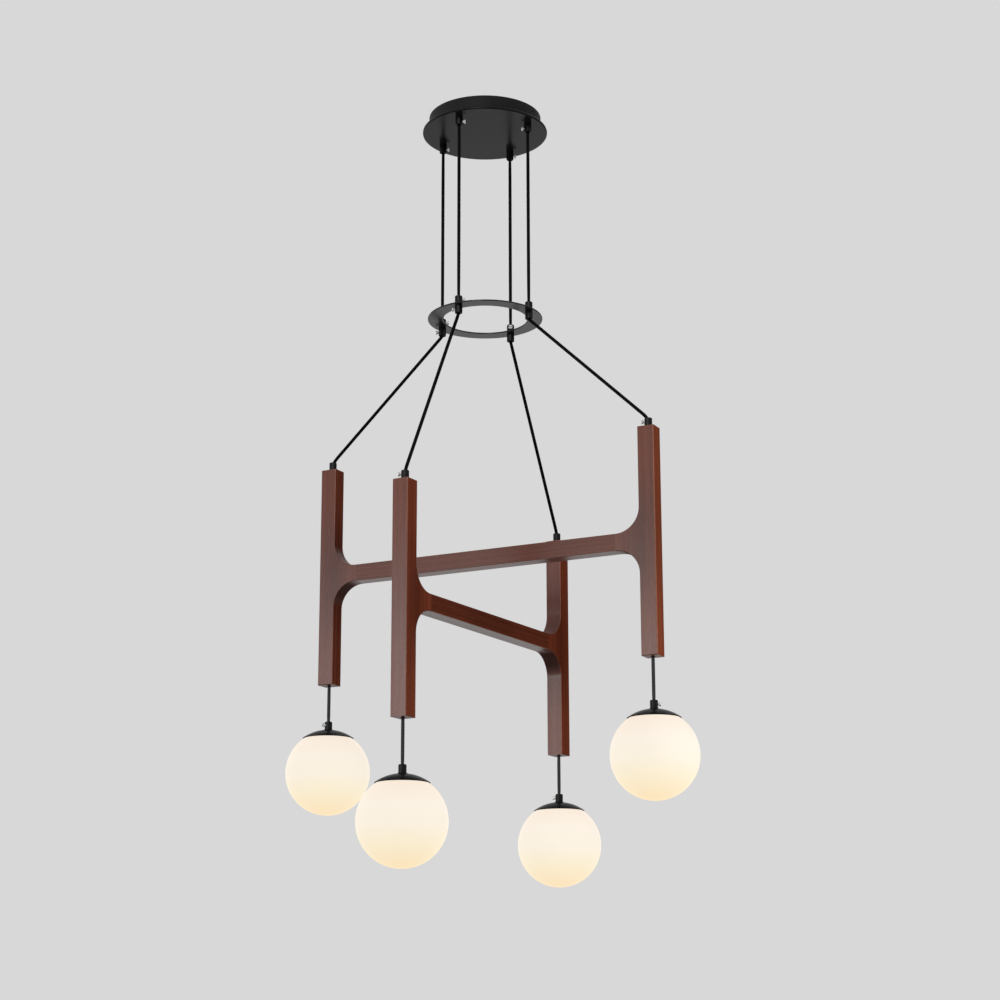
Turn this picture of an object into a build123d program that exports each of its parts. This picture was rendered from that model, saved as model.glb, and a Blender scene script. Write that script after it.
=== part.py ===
from build123d import *
import os
from math import cos, radians, sin, sqrt

# A pendant light. A ceiling canopy carries a flat ring on vertical cords. From the ring hang two
# H-shaped wooden frames, a long one and, lower down, a short one across it. Each post is drilled, and
# its cord comes out below to carry a globe lamp. Millimetres, +Z up, z = 0 at the ceiling face.
# Left and right lie on X, front and back on Y, as the grips sit on the canopy and the ring.

# Cord, and the turned grips that clamp it
cord_diameter = 4.8
cord_clearance = 0.3
thread_wall = 1.1
grip_shoulder = 1.6
mouth_rim = 1.6
thread_clearance = 0.05
clamp_screw_diameter = 3.0
clamp_screw_depth = 5.5
clamp_head_diameter = 6.0
clamp_head_length = 3.6
clamp_head_rim = 0.8
clamp_neck = 0.3
clamp_tip_gap = 0.1
clamp_heading = 30.0

# Canopy: a cup-shaped drum on a wider disc, hung on a slotted bracket
canopy_height = 25.0
drum_wall = 1.5
disc_overhang = 9.5
disc_thickness = 4.0
disc_edge_radius = 1.4
canopy_grip_length = 13.0
nut_flats = 13.0
nut_thickness = 4.0
nut_wall_gap = 0.5
thread_end = 1.5
bracket_width = 20.0
bracket_thickness = 2.0
bracket_tab_height = 11.0
bracket_gap = 0.3
slot_spacing = 70.0
slot_length = 14.0
slot_width = 5.0
set_screw_diameter = 4.0
set_screw_length = 8.0
set_screw_socket = 2.0
terminal_length = 36.0
terminal_width = 18.0
terminal_cover = 0.6
terminal_hole_diameter = 4.0
terminal_hole_depth = 5.0
terminal_pitch = 11.0

# Ring
upper_cord_length = 263.0
ring_outer_diameter = 166.0
ring_width = 22.0
ring_grip_edge = 10.0
ring_thickness = 2.0
ring_edge_radius = 0.6
ring_grip_length = 12.0
ring_thread_length = 4.5

# Wooden frames
post_section = 24.0
post_length = 320.0
beam_height = 24.0
stub_length = 36.0
corner_radius = 35.0
edge_radius = 1.0
dowel_diameter = 6.0
dowel_length = 30.0
dowel_spacing = 11.0
dowel_end_gap = 0.5
top_grip_length = 13.0
top_thread_length = 12.0
long_spacing = 504.0
long_drop = 184.0
long_turn = 4.0
short_spacing = 416.0
short_drop = 276.0
short_turn = 90.0

# Lamps
left_lamp_cord_length = 52.0
right_lamp_cord_length = 59.0
front_lamp_cord_length = 61.0
back_lamp_cord_length = 56.0
lamp_grip_length = 11.5
globe_diameter = 120.0
globe_wall = 2.5
neck_diameter = 34.0
neck_depth = 13.0
neck_gap = 0.3
cap_diameter = 73.0
cap_thickness = 1.3
cap_gap = 0.4
cap_boss_diameter = 14.0
cap_boss_height = 0.3
holder_seat_diameter = 21.0
holder_thread_length = 8.0
holder_nose_diameter = 20.0
holder_nose_length = 10.0
bulb_diameter = 16.0
bulb_length = 46.0
bulb_gap = 0.2
pin_diameter = 1.5
pin_length = 8.5
pin_spacing = 9.0

# Radii that the cord sets
cord_radius = cord_diameter / 2
bore_radius = cord_radius + cord_clearance
thread_radius = bore_radius + thread_wall
grip_radius = thread_radius + grip_shoulder
mouth_radius = grip_radius - mouth_rim
thread_hole_radius = thread_radius + thread_clearance

# Circle of the cords, which the ring sets, and what lies round it in the canopy
cord_circle = ring_outer_diameter - 2 * ring_grip_edge
ring_inner_diameter = ring_outer_diameter - 2 * ring_width
nut_reach = nut_flats / sqrt(3)
drum_diameter = cord_circle + 2 * (nut_reach + nut_wall_gap + drum_wall)
disc_diameter = drum_diameter + 2 * disc_overhang

# Heights of the canopy, from the ceiling down
drum_depth = canopy_height - disc_thickness
floor_z = drum_wall - drum_depth
canopy_mouth_z = -canopy_height - canopy_grip_length
canopy_thread_length = disc_thickness + drum_wall + nut_thickness + thread_end
lead_start_z = canopy_mouth_z + bore_radius
thread_top_z = floor_z + nut_thickness + thread_end
lead_bend = (-bracket_thickness - thread_top_z) / 2
lead_z = thread_top_z + lead_bend

# Heights of the ring and of the frames
ring_upper_mouth_z = canopy_mouth_z - upper_cord_length
ring_top_z = ring_upper_mouth_z - ring_grip_length
ring_bottom_z = ring_top_z - ring_thickness
ring_lower_mouth_z = ring_bottom_z - ring_grip_length
long_top_z = ring_lower_mouth_z - long_drop
short_top_z = ring_lower_mouth_z - short_drop

# Radii and heights of a lamp, from the middle of its globe
globe_radius = globe_diameter / 2
neck_radius = neck_diameter / 2
cap_inner = globe_radius + cap_gap
cap_outer = cap_inner + cap_thickness
cap_top = cap_outer + cap_boss_height
seat_radius = holder_seat_diameter / 2
seat_height = sqrt(cap_inner**2 - (seat_radius + neck_gap) ** 2)
skirt_radius = neck_radius - neck_gap
skirt_top = sqrt(cap_inner**2 - skirt_radius**2) - neck_gap
neck_top = sqrt(globe_radius**2 - neck_radius**2)
neck_bottom = neck_top - neck_depth
nose_bottom = neck_bottom - holder_nose_length
bulb_top = nose_bottom - bulb_gap

UP = (0, 0, 1)


def place(heading, reach, z):
    """Point at a distance from the light's vertical axis, on a heading in degrees from +X."""
    return Vector(reach * cos(radians(heading)), reach * sin(radians(heading)), z)


def upright(origin, heading=0.0):
    """Vertical sketch plane whose own x runs along the heading and whose y points up."""
    return Plane(origin=origin, x_dir=place(heading, 1, 0), z_dir=place(heading - 90, 1, 0))


def keep(part, label):
    """Label a finished piece and write it."""
    part.label = label
    export_step(part, f"parts/{label}.step")


def keep_group(parts, label):
    """Like pieces of one body share a file, each a solid of its own."""
    with BuildPart() as group:
        add(parts)
    keep(group.part, label)


def turned(foot, outline):
    """Solid turned about a vertical axis through foot from a closed (radius, height) outline."""
    with BuildPart() as piece:
        with BuildSketch(upright(foot)):
            with BuildLine():
                Polyline(*outline, close=True)
            make_face()
        revolve(axis=Axis(foot, UP))
    return piece.part


def cord_run(start, end):
    """Straight stretch of cord whose round ends are centred on the mouths that it turns in."""
    along = (end - start).normalized()
    side = place(clamp_heading, 1, 0).cross(along).normalized()
    length = (end - start).length
    with BuildPart() as cord:
        with BuildSketch(Plane(origin=start, x_dir=side, z_dir=side.cross(along))):
            with BuildLine():
                CenterArc((0, 0), cord_radius, -90, 90)
                Line((cord_radius, 0), (cord_radius, length))
                CenterArc((0, length), cord_radius, 0, 90)
                Line((0, length + cord_radius), (0, -cord_radius))
            make_face()
        revolve(axis=Axis(start, along))
    return cord.part


def cord_grip(mouth, body, length, tail, heading):
    """Turned cord grip with a countersunk mouth, a body below (-1) or above (+1) it and a clamp hole.

    The tail is the (radius, depth) outline of the threaded end, from the body to the bore.
    """
    rim_chamfer = mouth_rim / 2
    outline = [
        (mouth_radius, 0),
        (grip_radius - rim_chamfer, 0),
        (grip_radius, rim_chamfer),
        (grip_radius, length),
        *tail,
        (bore_radius, mouth_radius - bore_radius),
    ]
    with BuildPart() as grip:
        with BuildSketch(upright(mouth)):
            with BuildLine():
                Polyline(*[(radius, body * depth) for radius, depth in outline], close=True)
            make_face()
        revolve(axis=Axis(mouth, UP))
        clamp = mouth + Vector(0, 0, body * clamp_screw_depth)
        with BuildSketch(Plane(origin=clamp, z_dir=place(heading, 1, 0))):
            Circle(clamp_screw_diameter / 2 + thread_clearance)
        extrude(amount=grip_radius, mode=Mode.SUBTRACT)
    return grip.part


def male_tail(length, thread_length):
    """Threaded end that stands out of a grip's body."""
    end = length + thread_length
    return [(thread_radius, length), (thread_radius, end), (bore_radius, end)]


def female_tail(length, thread_length):
    """Threaded socket in the end of a grip's body."""
    end = length - thread_length
    return [(thread_hole_radius, length), (thread_hole_radius, end), (bore_radius, end)]


def clamp_screw(mouth, body, heading):
    """Nylon screw in the side of a grip: a shank that meets the cord, and a head that flares outwards."""
    tip = cord_radius + clamp_tip_gap
    head = grip_radius + clamp_neck
    end = head + clamp_head_length
    head_radius = clamp_head_diameter / 2
    centre = mouth + Vector(0, 0, body * clamp_screw_depth)
    with BuildPart() as screw:
        with BuildSketch(upright(centre, heading)):
            with BuildLine():
                Polyline(
                    (end, 0),
                    (tip, 0),
                    (tip, clamp_screw_diameter / 2),
                    (head, clamp_screw_diameter / 2),
                    (end - clamp_head_rim, head_radius),
                    (end, head_radius),
                    close=True,
                )
            make_face()
        revolve(axis=Axis(centre, place(heading, 1, 0)))
    return screw.part


os.makedirs("parts", exist_ok=True)

# The four cords, by the side of the light that they hang on, with the headings of their clamp screws
sides = {"left": 180.0, "right": 0.0, "front": 270.0, "back": 90.0}
canopy_clamps = {"left": 0.0, "right": 180.0, "front": 0.0, "back": 0.0}
ring_upper_clamps = {"left": 0.0, "right": 90.0, "front": 0.0, "back": 270.0}
ring_lower_clamps = {"left": 180.0, "right": 90.0, "front": 180.0, "back": 90.0}
top_clamps = {"left": 90.0, "right": 180.0, "front": 180.0, "back": 90.0}
lamp_clamps = {"left": 215.0, "right": 0.0, "front": 90.0, "back": 180.0}

# Ceiling bracket: a steel strap with two slots and end tabs tapped for the set screws
drum_radius = drum_diameter / 2
tab_reach = sqrt((drum_radius - drum_wall - bracket_gap) ** 2 - (bracket_width / 2) ** 2)
set_screw_z = -(bracket_thickness + bracket_tab_height) / 2
set_screw_hole = set_screw_diameter / 2 + thread_clearance
with BuildPart() as ceiling_bracket:
    with BuildSketch():
        Rectangle(2 * tab_reach, bracket_width)
        with GridLocations(slot_spacing, 0, 2, 1):
            SlotOverall(slot_length, slot_width, mode=Mode.SUBTRACT)
    extrude(amount=-bracket_thickness)
    with BuildSketch():
        with GridLocations(2 * tab_reach - bracket_thickness, 0, 2, 1):
            Rectangle(bracket_thickness, bracket_width)
    extrude(amount=-bracket_tab_height)
    with BuildSketch(Plane.YZ):
        with Locations((0, set_screw_z)):
            Circle(set_screw_hole)
    extrude(amount=tab_reach, both=True, mode=Mode.SUBTRACT)
keep(ceiling_bracket.part, "ceiling_bracket")

# Canopy drum: a spun cup, open to the ceiling, with holes in its floor and in its wall
with BuildPart() as canopy_drum:
    with BuildSketch():
        Circle(drum_radius)
    extrude(amount=-drum_depth)
    with BuildSketch():
        Circle(drum_radius - drum_wall)
    extrude(amount=floor_z, mode=Mode.SUBTRACT)
    with BuildSketch(Plane.XY.offset(-drum_depth)):
        with PolarLocations(cord_circle / 2, 4):
            Circle(thread_hole_radius)
    extrude(amount=drum_wall, mode=Mode.SUBTRACT)
    with BuildSketch(Plane.YZ):
        with Locations((0, set_screw_z)):
            Circle(set_screw_hole)
    extrude(amount=drum_radius, both=True, mode=Mode.SUBTRACT)
keep(canopy_drum.part, "canopy_drum")

# Canopy disc, clamped under the drum by the cord grips
with BuildPart() as canopy_disc:
    with BuildSketch(Plane.XY.offset(-canopy_height)):
        Circle(disc_diameter / 2)
        with PolarLocations(cord_circle / 2, 4):
            Circle(thread_hole_radius, mode=Mode.SUBTRACT)
    extrude(amount=disc_thickness)
    rims = canopy_disc.edges().filter_by(GeomType.CIRCLE).group_by(SortBy.RADIUS)[-1]
    fillet(rims, min(disc_edge_radius, 0.4 * disc_thickness))
keep(canopy_disc.part, "canopy_disc")

# Set screws, headless, flush in the drum's wall
set_screws = []
for heading in (0.0, 180.0):
    socket_face = place(heading, drum_radius - thread_clearance, set_screw_z)
    with BuildPart() as set_screw:
        with BuildSketch(Plane(origin=socket_face, z_dir=place(heading, 1, 0))):
            Circle(set_screw_diameter / 2)
        extrude(amount=-set_screw_length)
        with BuildSketch(Plane(origin=socket_face, z_dir=place(heading, 1, 0))):
            RegularPolygon(set_screw_socket / 2, 6, major_radius=False)
        extrude(amount=-set_screw_length / 2, mode=Mode.SUBTRACT)
    set_screws.append(set_screw.part)
keep_group(set_screws, "canopy_set_screws")

# Terminal block on the drum's floor, with screw wells in its top
terminal_top_z = lead_z + cord_radius + terminal_cover
with BuildPart() as terminal_block:
    with BuildSketch(Plane.XY.offset(floor_z)):
        Rectangle(terminal_length, terminal_width)
    extrude(amount=terminal_top_z - floor_z)
    with BuildSketch(Plane.XY.offset(terminal_top_z)):
        with GridLocations(terminal_pitch, terminal_width / 2, 3, 2):
            Circle(terminal_hole_diameter / 2)
    extrude(amount=-terminal_hole_depth, mode=Mode.SUBTRACT)
keep(terminal_block.part, "terminal_block")

# Grips under the canopy, their lock nuts and clamp screws, and the cord tails to the terminal block
canopy_grips = []
canopy_nuts = []
canopy_clamp_screws = []
canopy_leads = []
print("canopy cord tails bend at radius", lead_bend)
for side, heading in sides.items():
    mouth = place(heading, cord_circle / 2, canopy_mouth_z)
    clamp = canopy_clamps[side] + clamp_heading
    tail = male_tail(canopy_grip_length, canopy_thread_length)
    canopy_grips.append(cord_grip(mouth, 1, canopy_grip_length, tail, clamp))
    canopy_clamp_screws.append(clamp_screw(mouth, 1, clamp))
    with BuildPart() as nut:
        with BuildSketch(Plane(origin=place(heading, cord_circle / 2, floor_z))):
            RegularPolygon(nut_flats / 2, 6, major_radius=False)
            Circle(thread_hole_radius, mode=Mode.SUBTRACT)
        extrude(amount=nut_thickness)
    canopy_nuts.append(nut.part)
    block_face = terminal_length / 2 if side in ("left", "right") else terminal_width / 2
    with BuildPart() as lead:
        with BuildLine() as lead_line:
            FilletPolyline(
                place(heading, cord_circle / 2, lead_start_z),
                place(heading, cord_circle / 2, lead_z),
                place(heading, block_face, lead_z),
                radius=lead_bend,
            )
        with BuildSketch(Plane(origin=place(heading, cord_circle / 2, lead_start_z))):
            Circle(cord_radius)
        sweep()
    canopy_leads.append(lead.part)
keep_group(canopy_grips, "canopy_grips")
keep_group(canopy_nuts, "canopy_grip_nuts")
keep_group(canopy_clamp_screws, "canopy_grip_screws")
keep_group(canopy_leads, "canopy_cord_tails")

# Upper cords, canopy to ring
for side, heading in sides.items():
    upper_mouth = place(heading, cord_circle / 2, canopy_mouth_z)
    lower_mouth = place(heading, cord_circle / 2, ring_upper_mouth_z)
    keep(cord_run(upper_mouth, lower_mouth), f"upper_cord_{side}")

# Ring, cut from plate
with BuildPart() as ring_plate:
    with BuildSketch(Plane.XY.offset(ring_bottom_z)):
        Circle(ring_outer_diameter / 2)
        Circle(ring_inner_diameter / 2, mode=Mode.SUBTRACT)
        with PolarLocations(cord_circle / 2, 4):
            Circle(thread_hole_radius, mode=Mode.SUBTRACT)
    extrude(amount=ring_thickness)
    rims = ring_plate.edges().filter_by(GeomType.CIRCLE).group_by(SortBy.RADIUS)[-2:]
    fillet(rims[0] + rims[1], min(ring_edge_radius, 0.4 * ring_thickness))
keep(ring_plate.part, "ring_plate")

# Double-ended grips on the ring: the lower one's thread passes through the plate into the upper one
ring_grips = []
ring_clamp_screws = []
for side, heading in sides.items():
    upper_mouth = place(heading, cord_circle / 2, ring_upper_mouth_z)
    lower_mouth = place(heading, cord_circle / 2, ring_lower_mouth_z)
    upper_clamp = ring_upper_clamps[side] + clamp_heading
    lower_clamp = ring_lower_clamps[side] + clamp_heading
    upper_tail = female_tail(ring_grip_length, ring_thread_length + thread_clearance)
    lower_tail = male_tail(ring_grip_length, ring_thickness + ring_thread_length)
    ring_grips.append(cord_grip(upper_mouth, -1, ring_grip_length, upper_tail, upper_clamp))
    ring_grips.append(cord_grip(lower_mouth, 1, ring_grip_length, lower_tail, lower_clamp))
    ring_clamp_screws.append(clamp_screw(upper_mouth, -1, upper_clamp))
    ring_clamp_screws.append(clamp_screw(lower_mouth, 1, lower_clamp))
keep_group(ring_grips, "ring_grips")
keep_group(ring_clamp_screws, "ring_grip_screws")

# Wooden frames: each post is one T-shaped piece with a stub, doweled to the beam between the stubs
frames = {
    "long": (long_turn, long_spacing, long_top_z, ("left", "right")),
    "short": (short_turn, short_spacing, short_top_z, ("front", "back")),
}
posts = {}
for frame, (turn, spacing, top_z, ends) in frames.items():
    middle_z = top_z - post_length / 2
    inner_face = (spacing - post_section) / 2
    outer_face = (spacing + post_section) / 2
    joint = inner_face - stub_length
    along = place(turn, 1, 0)
    across = place(turn + 90, 1, 0)
    dowels = []
    top_grips = []
    top_clamp_screws = []

    with BuildPart() as beam:
        with BuildSketch(upright((0, 0, middle_z), turn)):
            Rectangle(2 * joint, beam_height)
        extrude(amount=post_section / 2, both=True)
        fillet(beam.edges().filter_by(Axis((0, 0, 0), along)), edge_radius)
        for end_sign in (-1, 1):
            with Locations(Plane(origin=place(turn, end_sign * joint, middle_z), x_dir=UP, z_dir=along)):
                with GridLocations(dowel_spacing, 0, 2, 1):
                    Cylinder(
                        dowel_diameter / 2 + thread_clearance,
                        dowel_length + 2 * dowel_end_gap,
                        mode=Mode.SUBTRACT,
                    )
    keep(beam.part, f"{frame}_frame_beam")

    for end_sign, end in zip((-1, 1), ends):
        half_length = post_length / 2
        half_beam = beam_height / 2
        outline = [
            (outer_face, -half_length),
            (outer_face, half_length),
            (inner_face, half_length),
            (inner_face, half_beam),
            (joint, half_beam),
            (joint, -half_beam),
            (inner_face, -half_beam),
            (inner_face, -half_length),
        ]
        foot = place(turn, end_sign * spacing / 2, top_z - post_length)
        head = place(turn, end_sign * spacing / 2, top_z)
        posts[end] = foot
        socket_floor = post_length - top_thread_length - thread_clearance
        with BuildPart() as post:
            with BuildSketch(upright((0, 0, middle_z), turn)):
                with BuildLine():
                    FilletPolyline(
                        *[(end_sign * x, y) for x, y in outline],
                        radius=[0, 0, 0, corner_radius, 0, 0, corner_radius, 0],
                        close=True,
                    )
                make_face()
            extrude(amount=post_section / 2, both=True)
            wide_faces = post.faces().filter_by(Axis((0, 0, 0), across))
            eased = wide_faces.edges().filter_by(
                lambda edge: abs(abs(edge.center().dot(along)) - joint) > edge_radius
            )
            fillet(eased, edge_radius)
            with BuildSketch(upright(foot)):
                with BuildLine():
                    Polyline(
                        (0, 0),
                        (mouth_radius, 0),
                        (bore_radius, mouth_radius - bore_radius),
                        (bore_radius, socket_floor),
                        (thread_hole_radius, socket_floor),
                        (thread_hole_radius, post_length),
                        (0, post_length),
                        close=True,
                    )
                make_face()
            revolve(axis=Axis(foot, UP), mode=Mode.SUBTRACT)
            with Locations(Plane(origin=place(turn, end_sign * joint, middle_z), x_dir=UP, z_dir=along)):
                with GridLocations(dowel_spacing, 0, 2, 1):
                    Cylinder(
                        dowel_diameter / 2 + thread_clearance,
                        dowel_length + 2 * dowel_end_gap,
                        mode=Mode.SUBTRACT,
                    )
        keep(post.part, f"{frame}_frame_{end}_post")

        with BuildPart() as joint_dowels:
            with Locations(Plane(origin=place(turn, end_sign * joint, middle_z), x_dir=UP, z_dir=along)):
                with GridLocations(dowel_spacing, 0, 2, 1):
                    Cylinder(dowel_diameter / 2, dowel_length)
        dowels.append(joint_dowels.part)

        # The cord from the ring to the post's grip, and on down inside the post
        ring_mouth = place(sides[end], cord_circle / 2, ring_lower_mouth_z)
        post_mouth = head + Vector(0, 0, top_grip_length)
        clamp = top_clamps[end] + clamp_heading
        tail = male_tail(top_grip_length, top_thread_length)
        top_grips.append(cord_grip(post_mouth, -1, top_grip_length, tail, clamp))
        top_clamp_screws.append(clamp_screw(post_mouth, -1, clamp))
        free_cord = cord_run(ring_mouth, post_mouth)
        inner_top = post_mouth.Z - bore_radius
        inner_bottom = foot.Z + bore_radius
        with BuildPart() as inner_cord:
            with BuildSketch(Plane(origin=(foot.X, foot.Y, inner_bottom))):
                Circle(cord_radius)
            extrude(amount=inner_top - inner_bottom)
        keep_group([free_cord, inner_cord.part], f"{frame}_frame_{end}_cord")
    keep_group(dowels, f"{frame}_frame_dowels")
    keep_group(top_grips, f"{frame}_frame_top_grips")
    keep_group(top_clamp_screws, f"{frame}_frame_top_grip_screws")

# Lamps, one on a short cord below each post
lamp_cord_lengths = {
    "left": left_lamp_cord_length,
    "right": right_lamp_cord_length,
    "front": front_lamp_cord_length,
    "back": back_lamp_cord_length,
}
for side, foot in posts.items():
    mouth = foot - Vector(0, 0, lamp_cord_lengths[side])
    centre = mouth - Vector(0, 0, lamp_grip_length + cap_top)
    clamp = lamp_clamps[side] + clamp_heading
    keep(cord_run(foot, mouth), f"{side}_lamp_cord")

    # Grip, whose thread clamps the cap against the lamp holder
    thread_length = cap_top - seat_height + holder_thread_length
    tail = male_tail(lamp_grip_length, thread_length)
    keep(cord_grip(mouth, -1, lamp_grip_length, tail, clamp), f"{side}_lamp_grip")
    keep(clamp_screw(mouth, -1, clamp), f"{side}_lamp_grip_screw")

    # Cap, a spun dome that follows the globe, with a flat boss for the grip
    boss_radius = cap_boss_diameter / 2
    rim_radius = cap_diameter / 2
    rim_height = sqrt(cap_outer**2 - rim_radius**2)
    inner_rim = (rim_radius * cap_inner / cap_outer, rim_height * cap_inner / cap_outer)
    inner_seat = (seat_radius + neck_gap, seat_height)
    boss_foot = (boss_radius, sqrt(cap_outer**2 - boss_radius**2))
    with BuildPart() as cap:
        with BuildSketch(upright(centre)):
            with BuildLine():
                RadiusArc(boss_foot, (rim_radius, rim_height), cap_outer)
                Line((rim_radius, rim_height), inner_rim)
                RadiusArc(inner_rim, inner_seat, -cap_inner)
                Polyline(
                    inner_seat,
                    (thread_hole_radius, seat_height),
                    (thread_hole_radius, cap_top),
                    (boss_radius, cap_top),
                    boss_foot,
                )
            make_face()
        revolve(axis=Axis(centre, UP))
    keep(cap.part, f"{side}_lamp_cap")

    # Holder: a moulded skirt that the globe screws on to, with two pin sockets in its nose
    nose_radius = holder_nose_diameter / 2
    thread_floor = seat_height - holder_thread_length - thread_clearance
    holder_blank = turned(
        centre,
        [
            (thread_hole_radius, seat_height),
            (seat_radius, seat_height),
            (seat_radius, skirt_top),
            (skirt_radius, skirt_top),
            (skirt_radius, neck_bottom),
            (nose_radius, neck_bottom),
            (nose_radius, nose_bottom),
            (0, nose_bottom),
            (0, thread_floor),
            (thread_hole_radius, thread_floor),
        ],
    )
    with BuildPart() as holder:
        add(holder_blank)
        with BuildSketch(Plane(origin=centre + Vector(0, 0, nose_bottom))):
            with GridLocations(pin_spacing, 0, 2, 1):
                Circle(pin_diameter / 2 + thread_clearance)
        extrude(amount=pin_length + bulb_gap, mode=Mode.SUBTRACT)
    keep(holder.part, f"{side}_lamp_holder")

    # Bulb: a capsule with two pins
    bulb_radius = bulb_diameter / 2
    dome_height = bulb_top - bulb_length + bulb_radius
    with BuildPart() as bulb:
        with BuildSketch(upright(centre)):
            with BuildLine():
                Polyline((0, bulb_top - bulb_length), (0, bulb_top), (bulb_radius, bulb_top))
                Line((bulb_radius, bulb_top), (bulb_radius, dome_height))
                RadiusArc((bulb_radius, dome_height), (0, bulb_top - bulb_length), bulb_radius)
            make_face()
        revolve(axis=Axis(centre, UP))
        with BuildSketch(Plane(origin=centre + Vector(0, 0, bulb_top))):
            with GridLocations(pin_spacing, 0, 2, 1):
                Circle(pin_diameter / 2)
        extrude(amount=pin_length)
    keep(bulb.part, f"{side}_lamp_bulb")

    # Globe: a blown shell with a threaded collar turned in at its mouth
    inner_radius = globe_radius - globe_wall
    collar_radius = neck_radius + globe_wall
    collar_root = (collar_radius, sqrt(inner_radius**2 - collar_radius**2))
    with BuildPart() as globe:
        with BuildSketch(upright(centre)):
            with BuildLine():
                ThreePointArc((neck_radius, neck_top), (globe_radius, 0), (0, -globe_radius))
                Line((0, -globe_radius), (0, -inner_radius))
                ThreePointArc((0, -inner_radius), (inner_radius, 0), collar_root)
                Polyline(
                    collar_root,
                    (collar_radius, neck_bottom),
                    (neck_radius, neck_bottom),
                    (neck_radius, neck_top),
                )
            make_face()
        revolve(axis=Axis(centre, UP))
    keep(globe.part, f"{side}_lamp_globe")
    print(side, "lamp: middle of globe at", centre)
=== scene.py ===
from math import cos, pi, radians, sin

import bpy
from mathutils import Matrix, Vector


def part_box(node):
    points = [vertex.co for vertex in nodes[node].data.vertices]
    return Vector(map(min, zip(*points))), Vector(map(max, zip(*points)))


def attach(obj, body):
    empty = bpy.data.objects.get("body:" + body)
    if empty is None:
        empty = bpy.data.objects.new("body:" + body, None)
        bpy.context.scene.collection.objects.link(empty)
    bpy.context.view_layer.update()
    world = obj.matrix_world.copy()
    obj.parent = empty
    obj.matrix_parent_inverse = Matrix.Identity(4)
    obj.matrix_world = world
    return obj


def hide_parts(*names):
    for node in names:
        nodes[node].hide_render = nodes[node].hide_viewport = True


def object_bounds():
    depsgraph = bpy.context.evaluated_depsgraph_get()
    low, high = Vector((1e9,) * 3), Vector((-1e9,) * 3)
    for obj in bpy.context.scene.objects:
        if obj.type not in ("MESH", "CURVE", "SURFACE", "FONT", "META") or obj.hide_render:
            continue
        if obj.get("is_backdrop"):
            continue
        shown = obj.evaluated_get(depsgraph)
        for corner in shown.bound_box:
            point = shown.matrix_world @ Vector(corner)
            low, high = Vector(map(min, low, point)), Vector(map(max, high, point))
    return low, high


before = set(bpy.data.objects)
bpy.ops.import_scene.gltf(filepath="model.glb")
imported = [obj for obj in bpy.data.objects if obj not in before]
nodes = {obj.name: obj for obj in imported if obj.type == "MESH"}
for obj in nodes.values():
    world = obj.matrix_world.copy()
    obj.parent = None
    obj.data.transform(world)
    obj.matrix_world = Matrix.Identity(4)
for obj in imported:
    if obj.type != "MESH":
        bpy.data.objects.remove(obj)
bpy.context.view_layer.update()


# Ceiling bracket: a bent steel strap, zinc plated, with two slots for the ceiling screws.
# The nuts that hold the cord grips in the canopy have the same plating.
def new_finish(name, specular=0.5):
    """Node material with one Principled shader: the material, its tree and the shader."""
    material = bpy.data.materials.new(name)
    material.use_nodes = True
    tree = material.node_tree
    shader = tree.nodes["Principled BSDF"]
    shader.inputs["Specular IOR Level"].default_value = specular
    return material, tree, shader


def add(tree, kind, sockets=None, **options):
    """One shader or geometry node, with values for its sockets and its options."""
    node = tree.nodes.new(kind)
    for option, value in options.items():
        setattr(node, option, value)
    for socket, value in (sockets or {}).items():
        node.inputs[socket].default_value = value
    return node


def speckle(tree, scale, stretch=(1, 1, 1)):
    """Noise on object coordinates, with features of about 1 / scale metres before the stretch."""
    place = add(tree, "ShaderNodeTexCoord")
    mapping = add(tree, "ShaderNodeMapping", {"Scale": stretch})
    noise = add(tree, "ShaderNodeTexNoise", {"Scale": scale, "Detail": 3.0})
    tree.links.new(place.outputs["Object"], mapping.inputs["Vector"])
    tree.links.new(mapping.outputs["Vector"], noise.inputs["Vector"])
    return noise.outputs["Fac"]


def span(tree, value, low, high, start=0.3, end=0.7):
    """Map start..end, by default the middle of a noise's range, to low..high."""
    limits = {"From Min": start, "From Max": end, "To Min": low, "To Max": high}
    ranged = add(tree, "ShaderNodeMapRange", limits)
    tree.links.new(value, ranged.inputs["Value"])
    return ranged.outputs["Result"]


def tint(tree, value, dark, light):
    """Colour between dark and light."""
    mix = add(tree, "ShaderNodeMix", data_type="RGBA")
    mix.inputs["A"].default_value = (*dark, 1)
    mix.inputs["B"].default_value = (*light, 1)
    tree.links.new(value, mix.inputs["Factor"])
    return mix.outputs["Result"]


def relief(tree, shader, height, distance):
    """Bump of a real depth in metres."""
    bump = add(tree, "ShaderNodeBump", {"Strength": 1.0, "Distance": distance})
    tree.links.new(height, bump.inputs["Height"])
    tree.links.new(bump.outputs["Normal"], shader.inputs["Normal"])


def mottled(
    name, dark, light, rough, grain, depth, specular=0.5, metallic=0.0, patch=60.0, stretch=(1, 1, 1)
):
    """Hard finish with slow patches of colour, a varying gloss and a fine surface grain."""
    material, tree, shader = new_finish(name, specular)
    shader.inputs["Metallic"].default_value = metallic
    patches = speckle(tree, patch)
    fine = speckle(tree, grain, stretch)
    tree.links.new(tint(tree, span(tree, patches, 0, 1), dark, light), shader.inputs["Base Color"])
    tree.links.new(span(tree, patches, *rough), shader.inputs["Roughness"])
    relief(tree, shader, fine, depth)
    return material


def dress(material, *names):
    """Give CAD nodes a finish."""
    for name in names:
        nodes[name].data.materials.clear()
        nodes[name].data.materials.append(material)


zinc_plate = mottled(
    "zinc_plate", dark=(0.40, 0.41, 0.42), light=(0.62, 0.61, 0.56), rough=(0.28, 0.45),
    grain=2500, depth=0.00003, metallic=1.0, patch=90, stretch=(0.04, 1, 1),
)
dress(zinc_plate, "ceiling_bracket", "canopy_grip_nuts")


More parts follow.
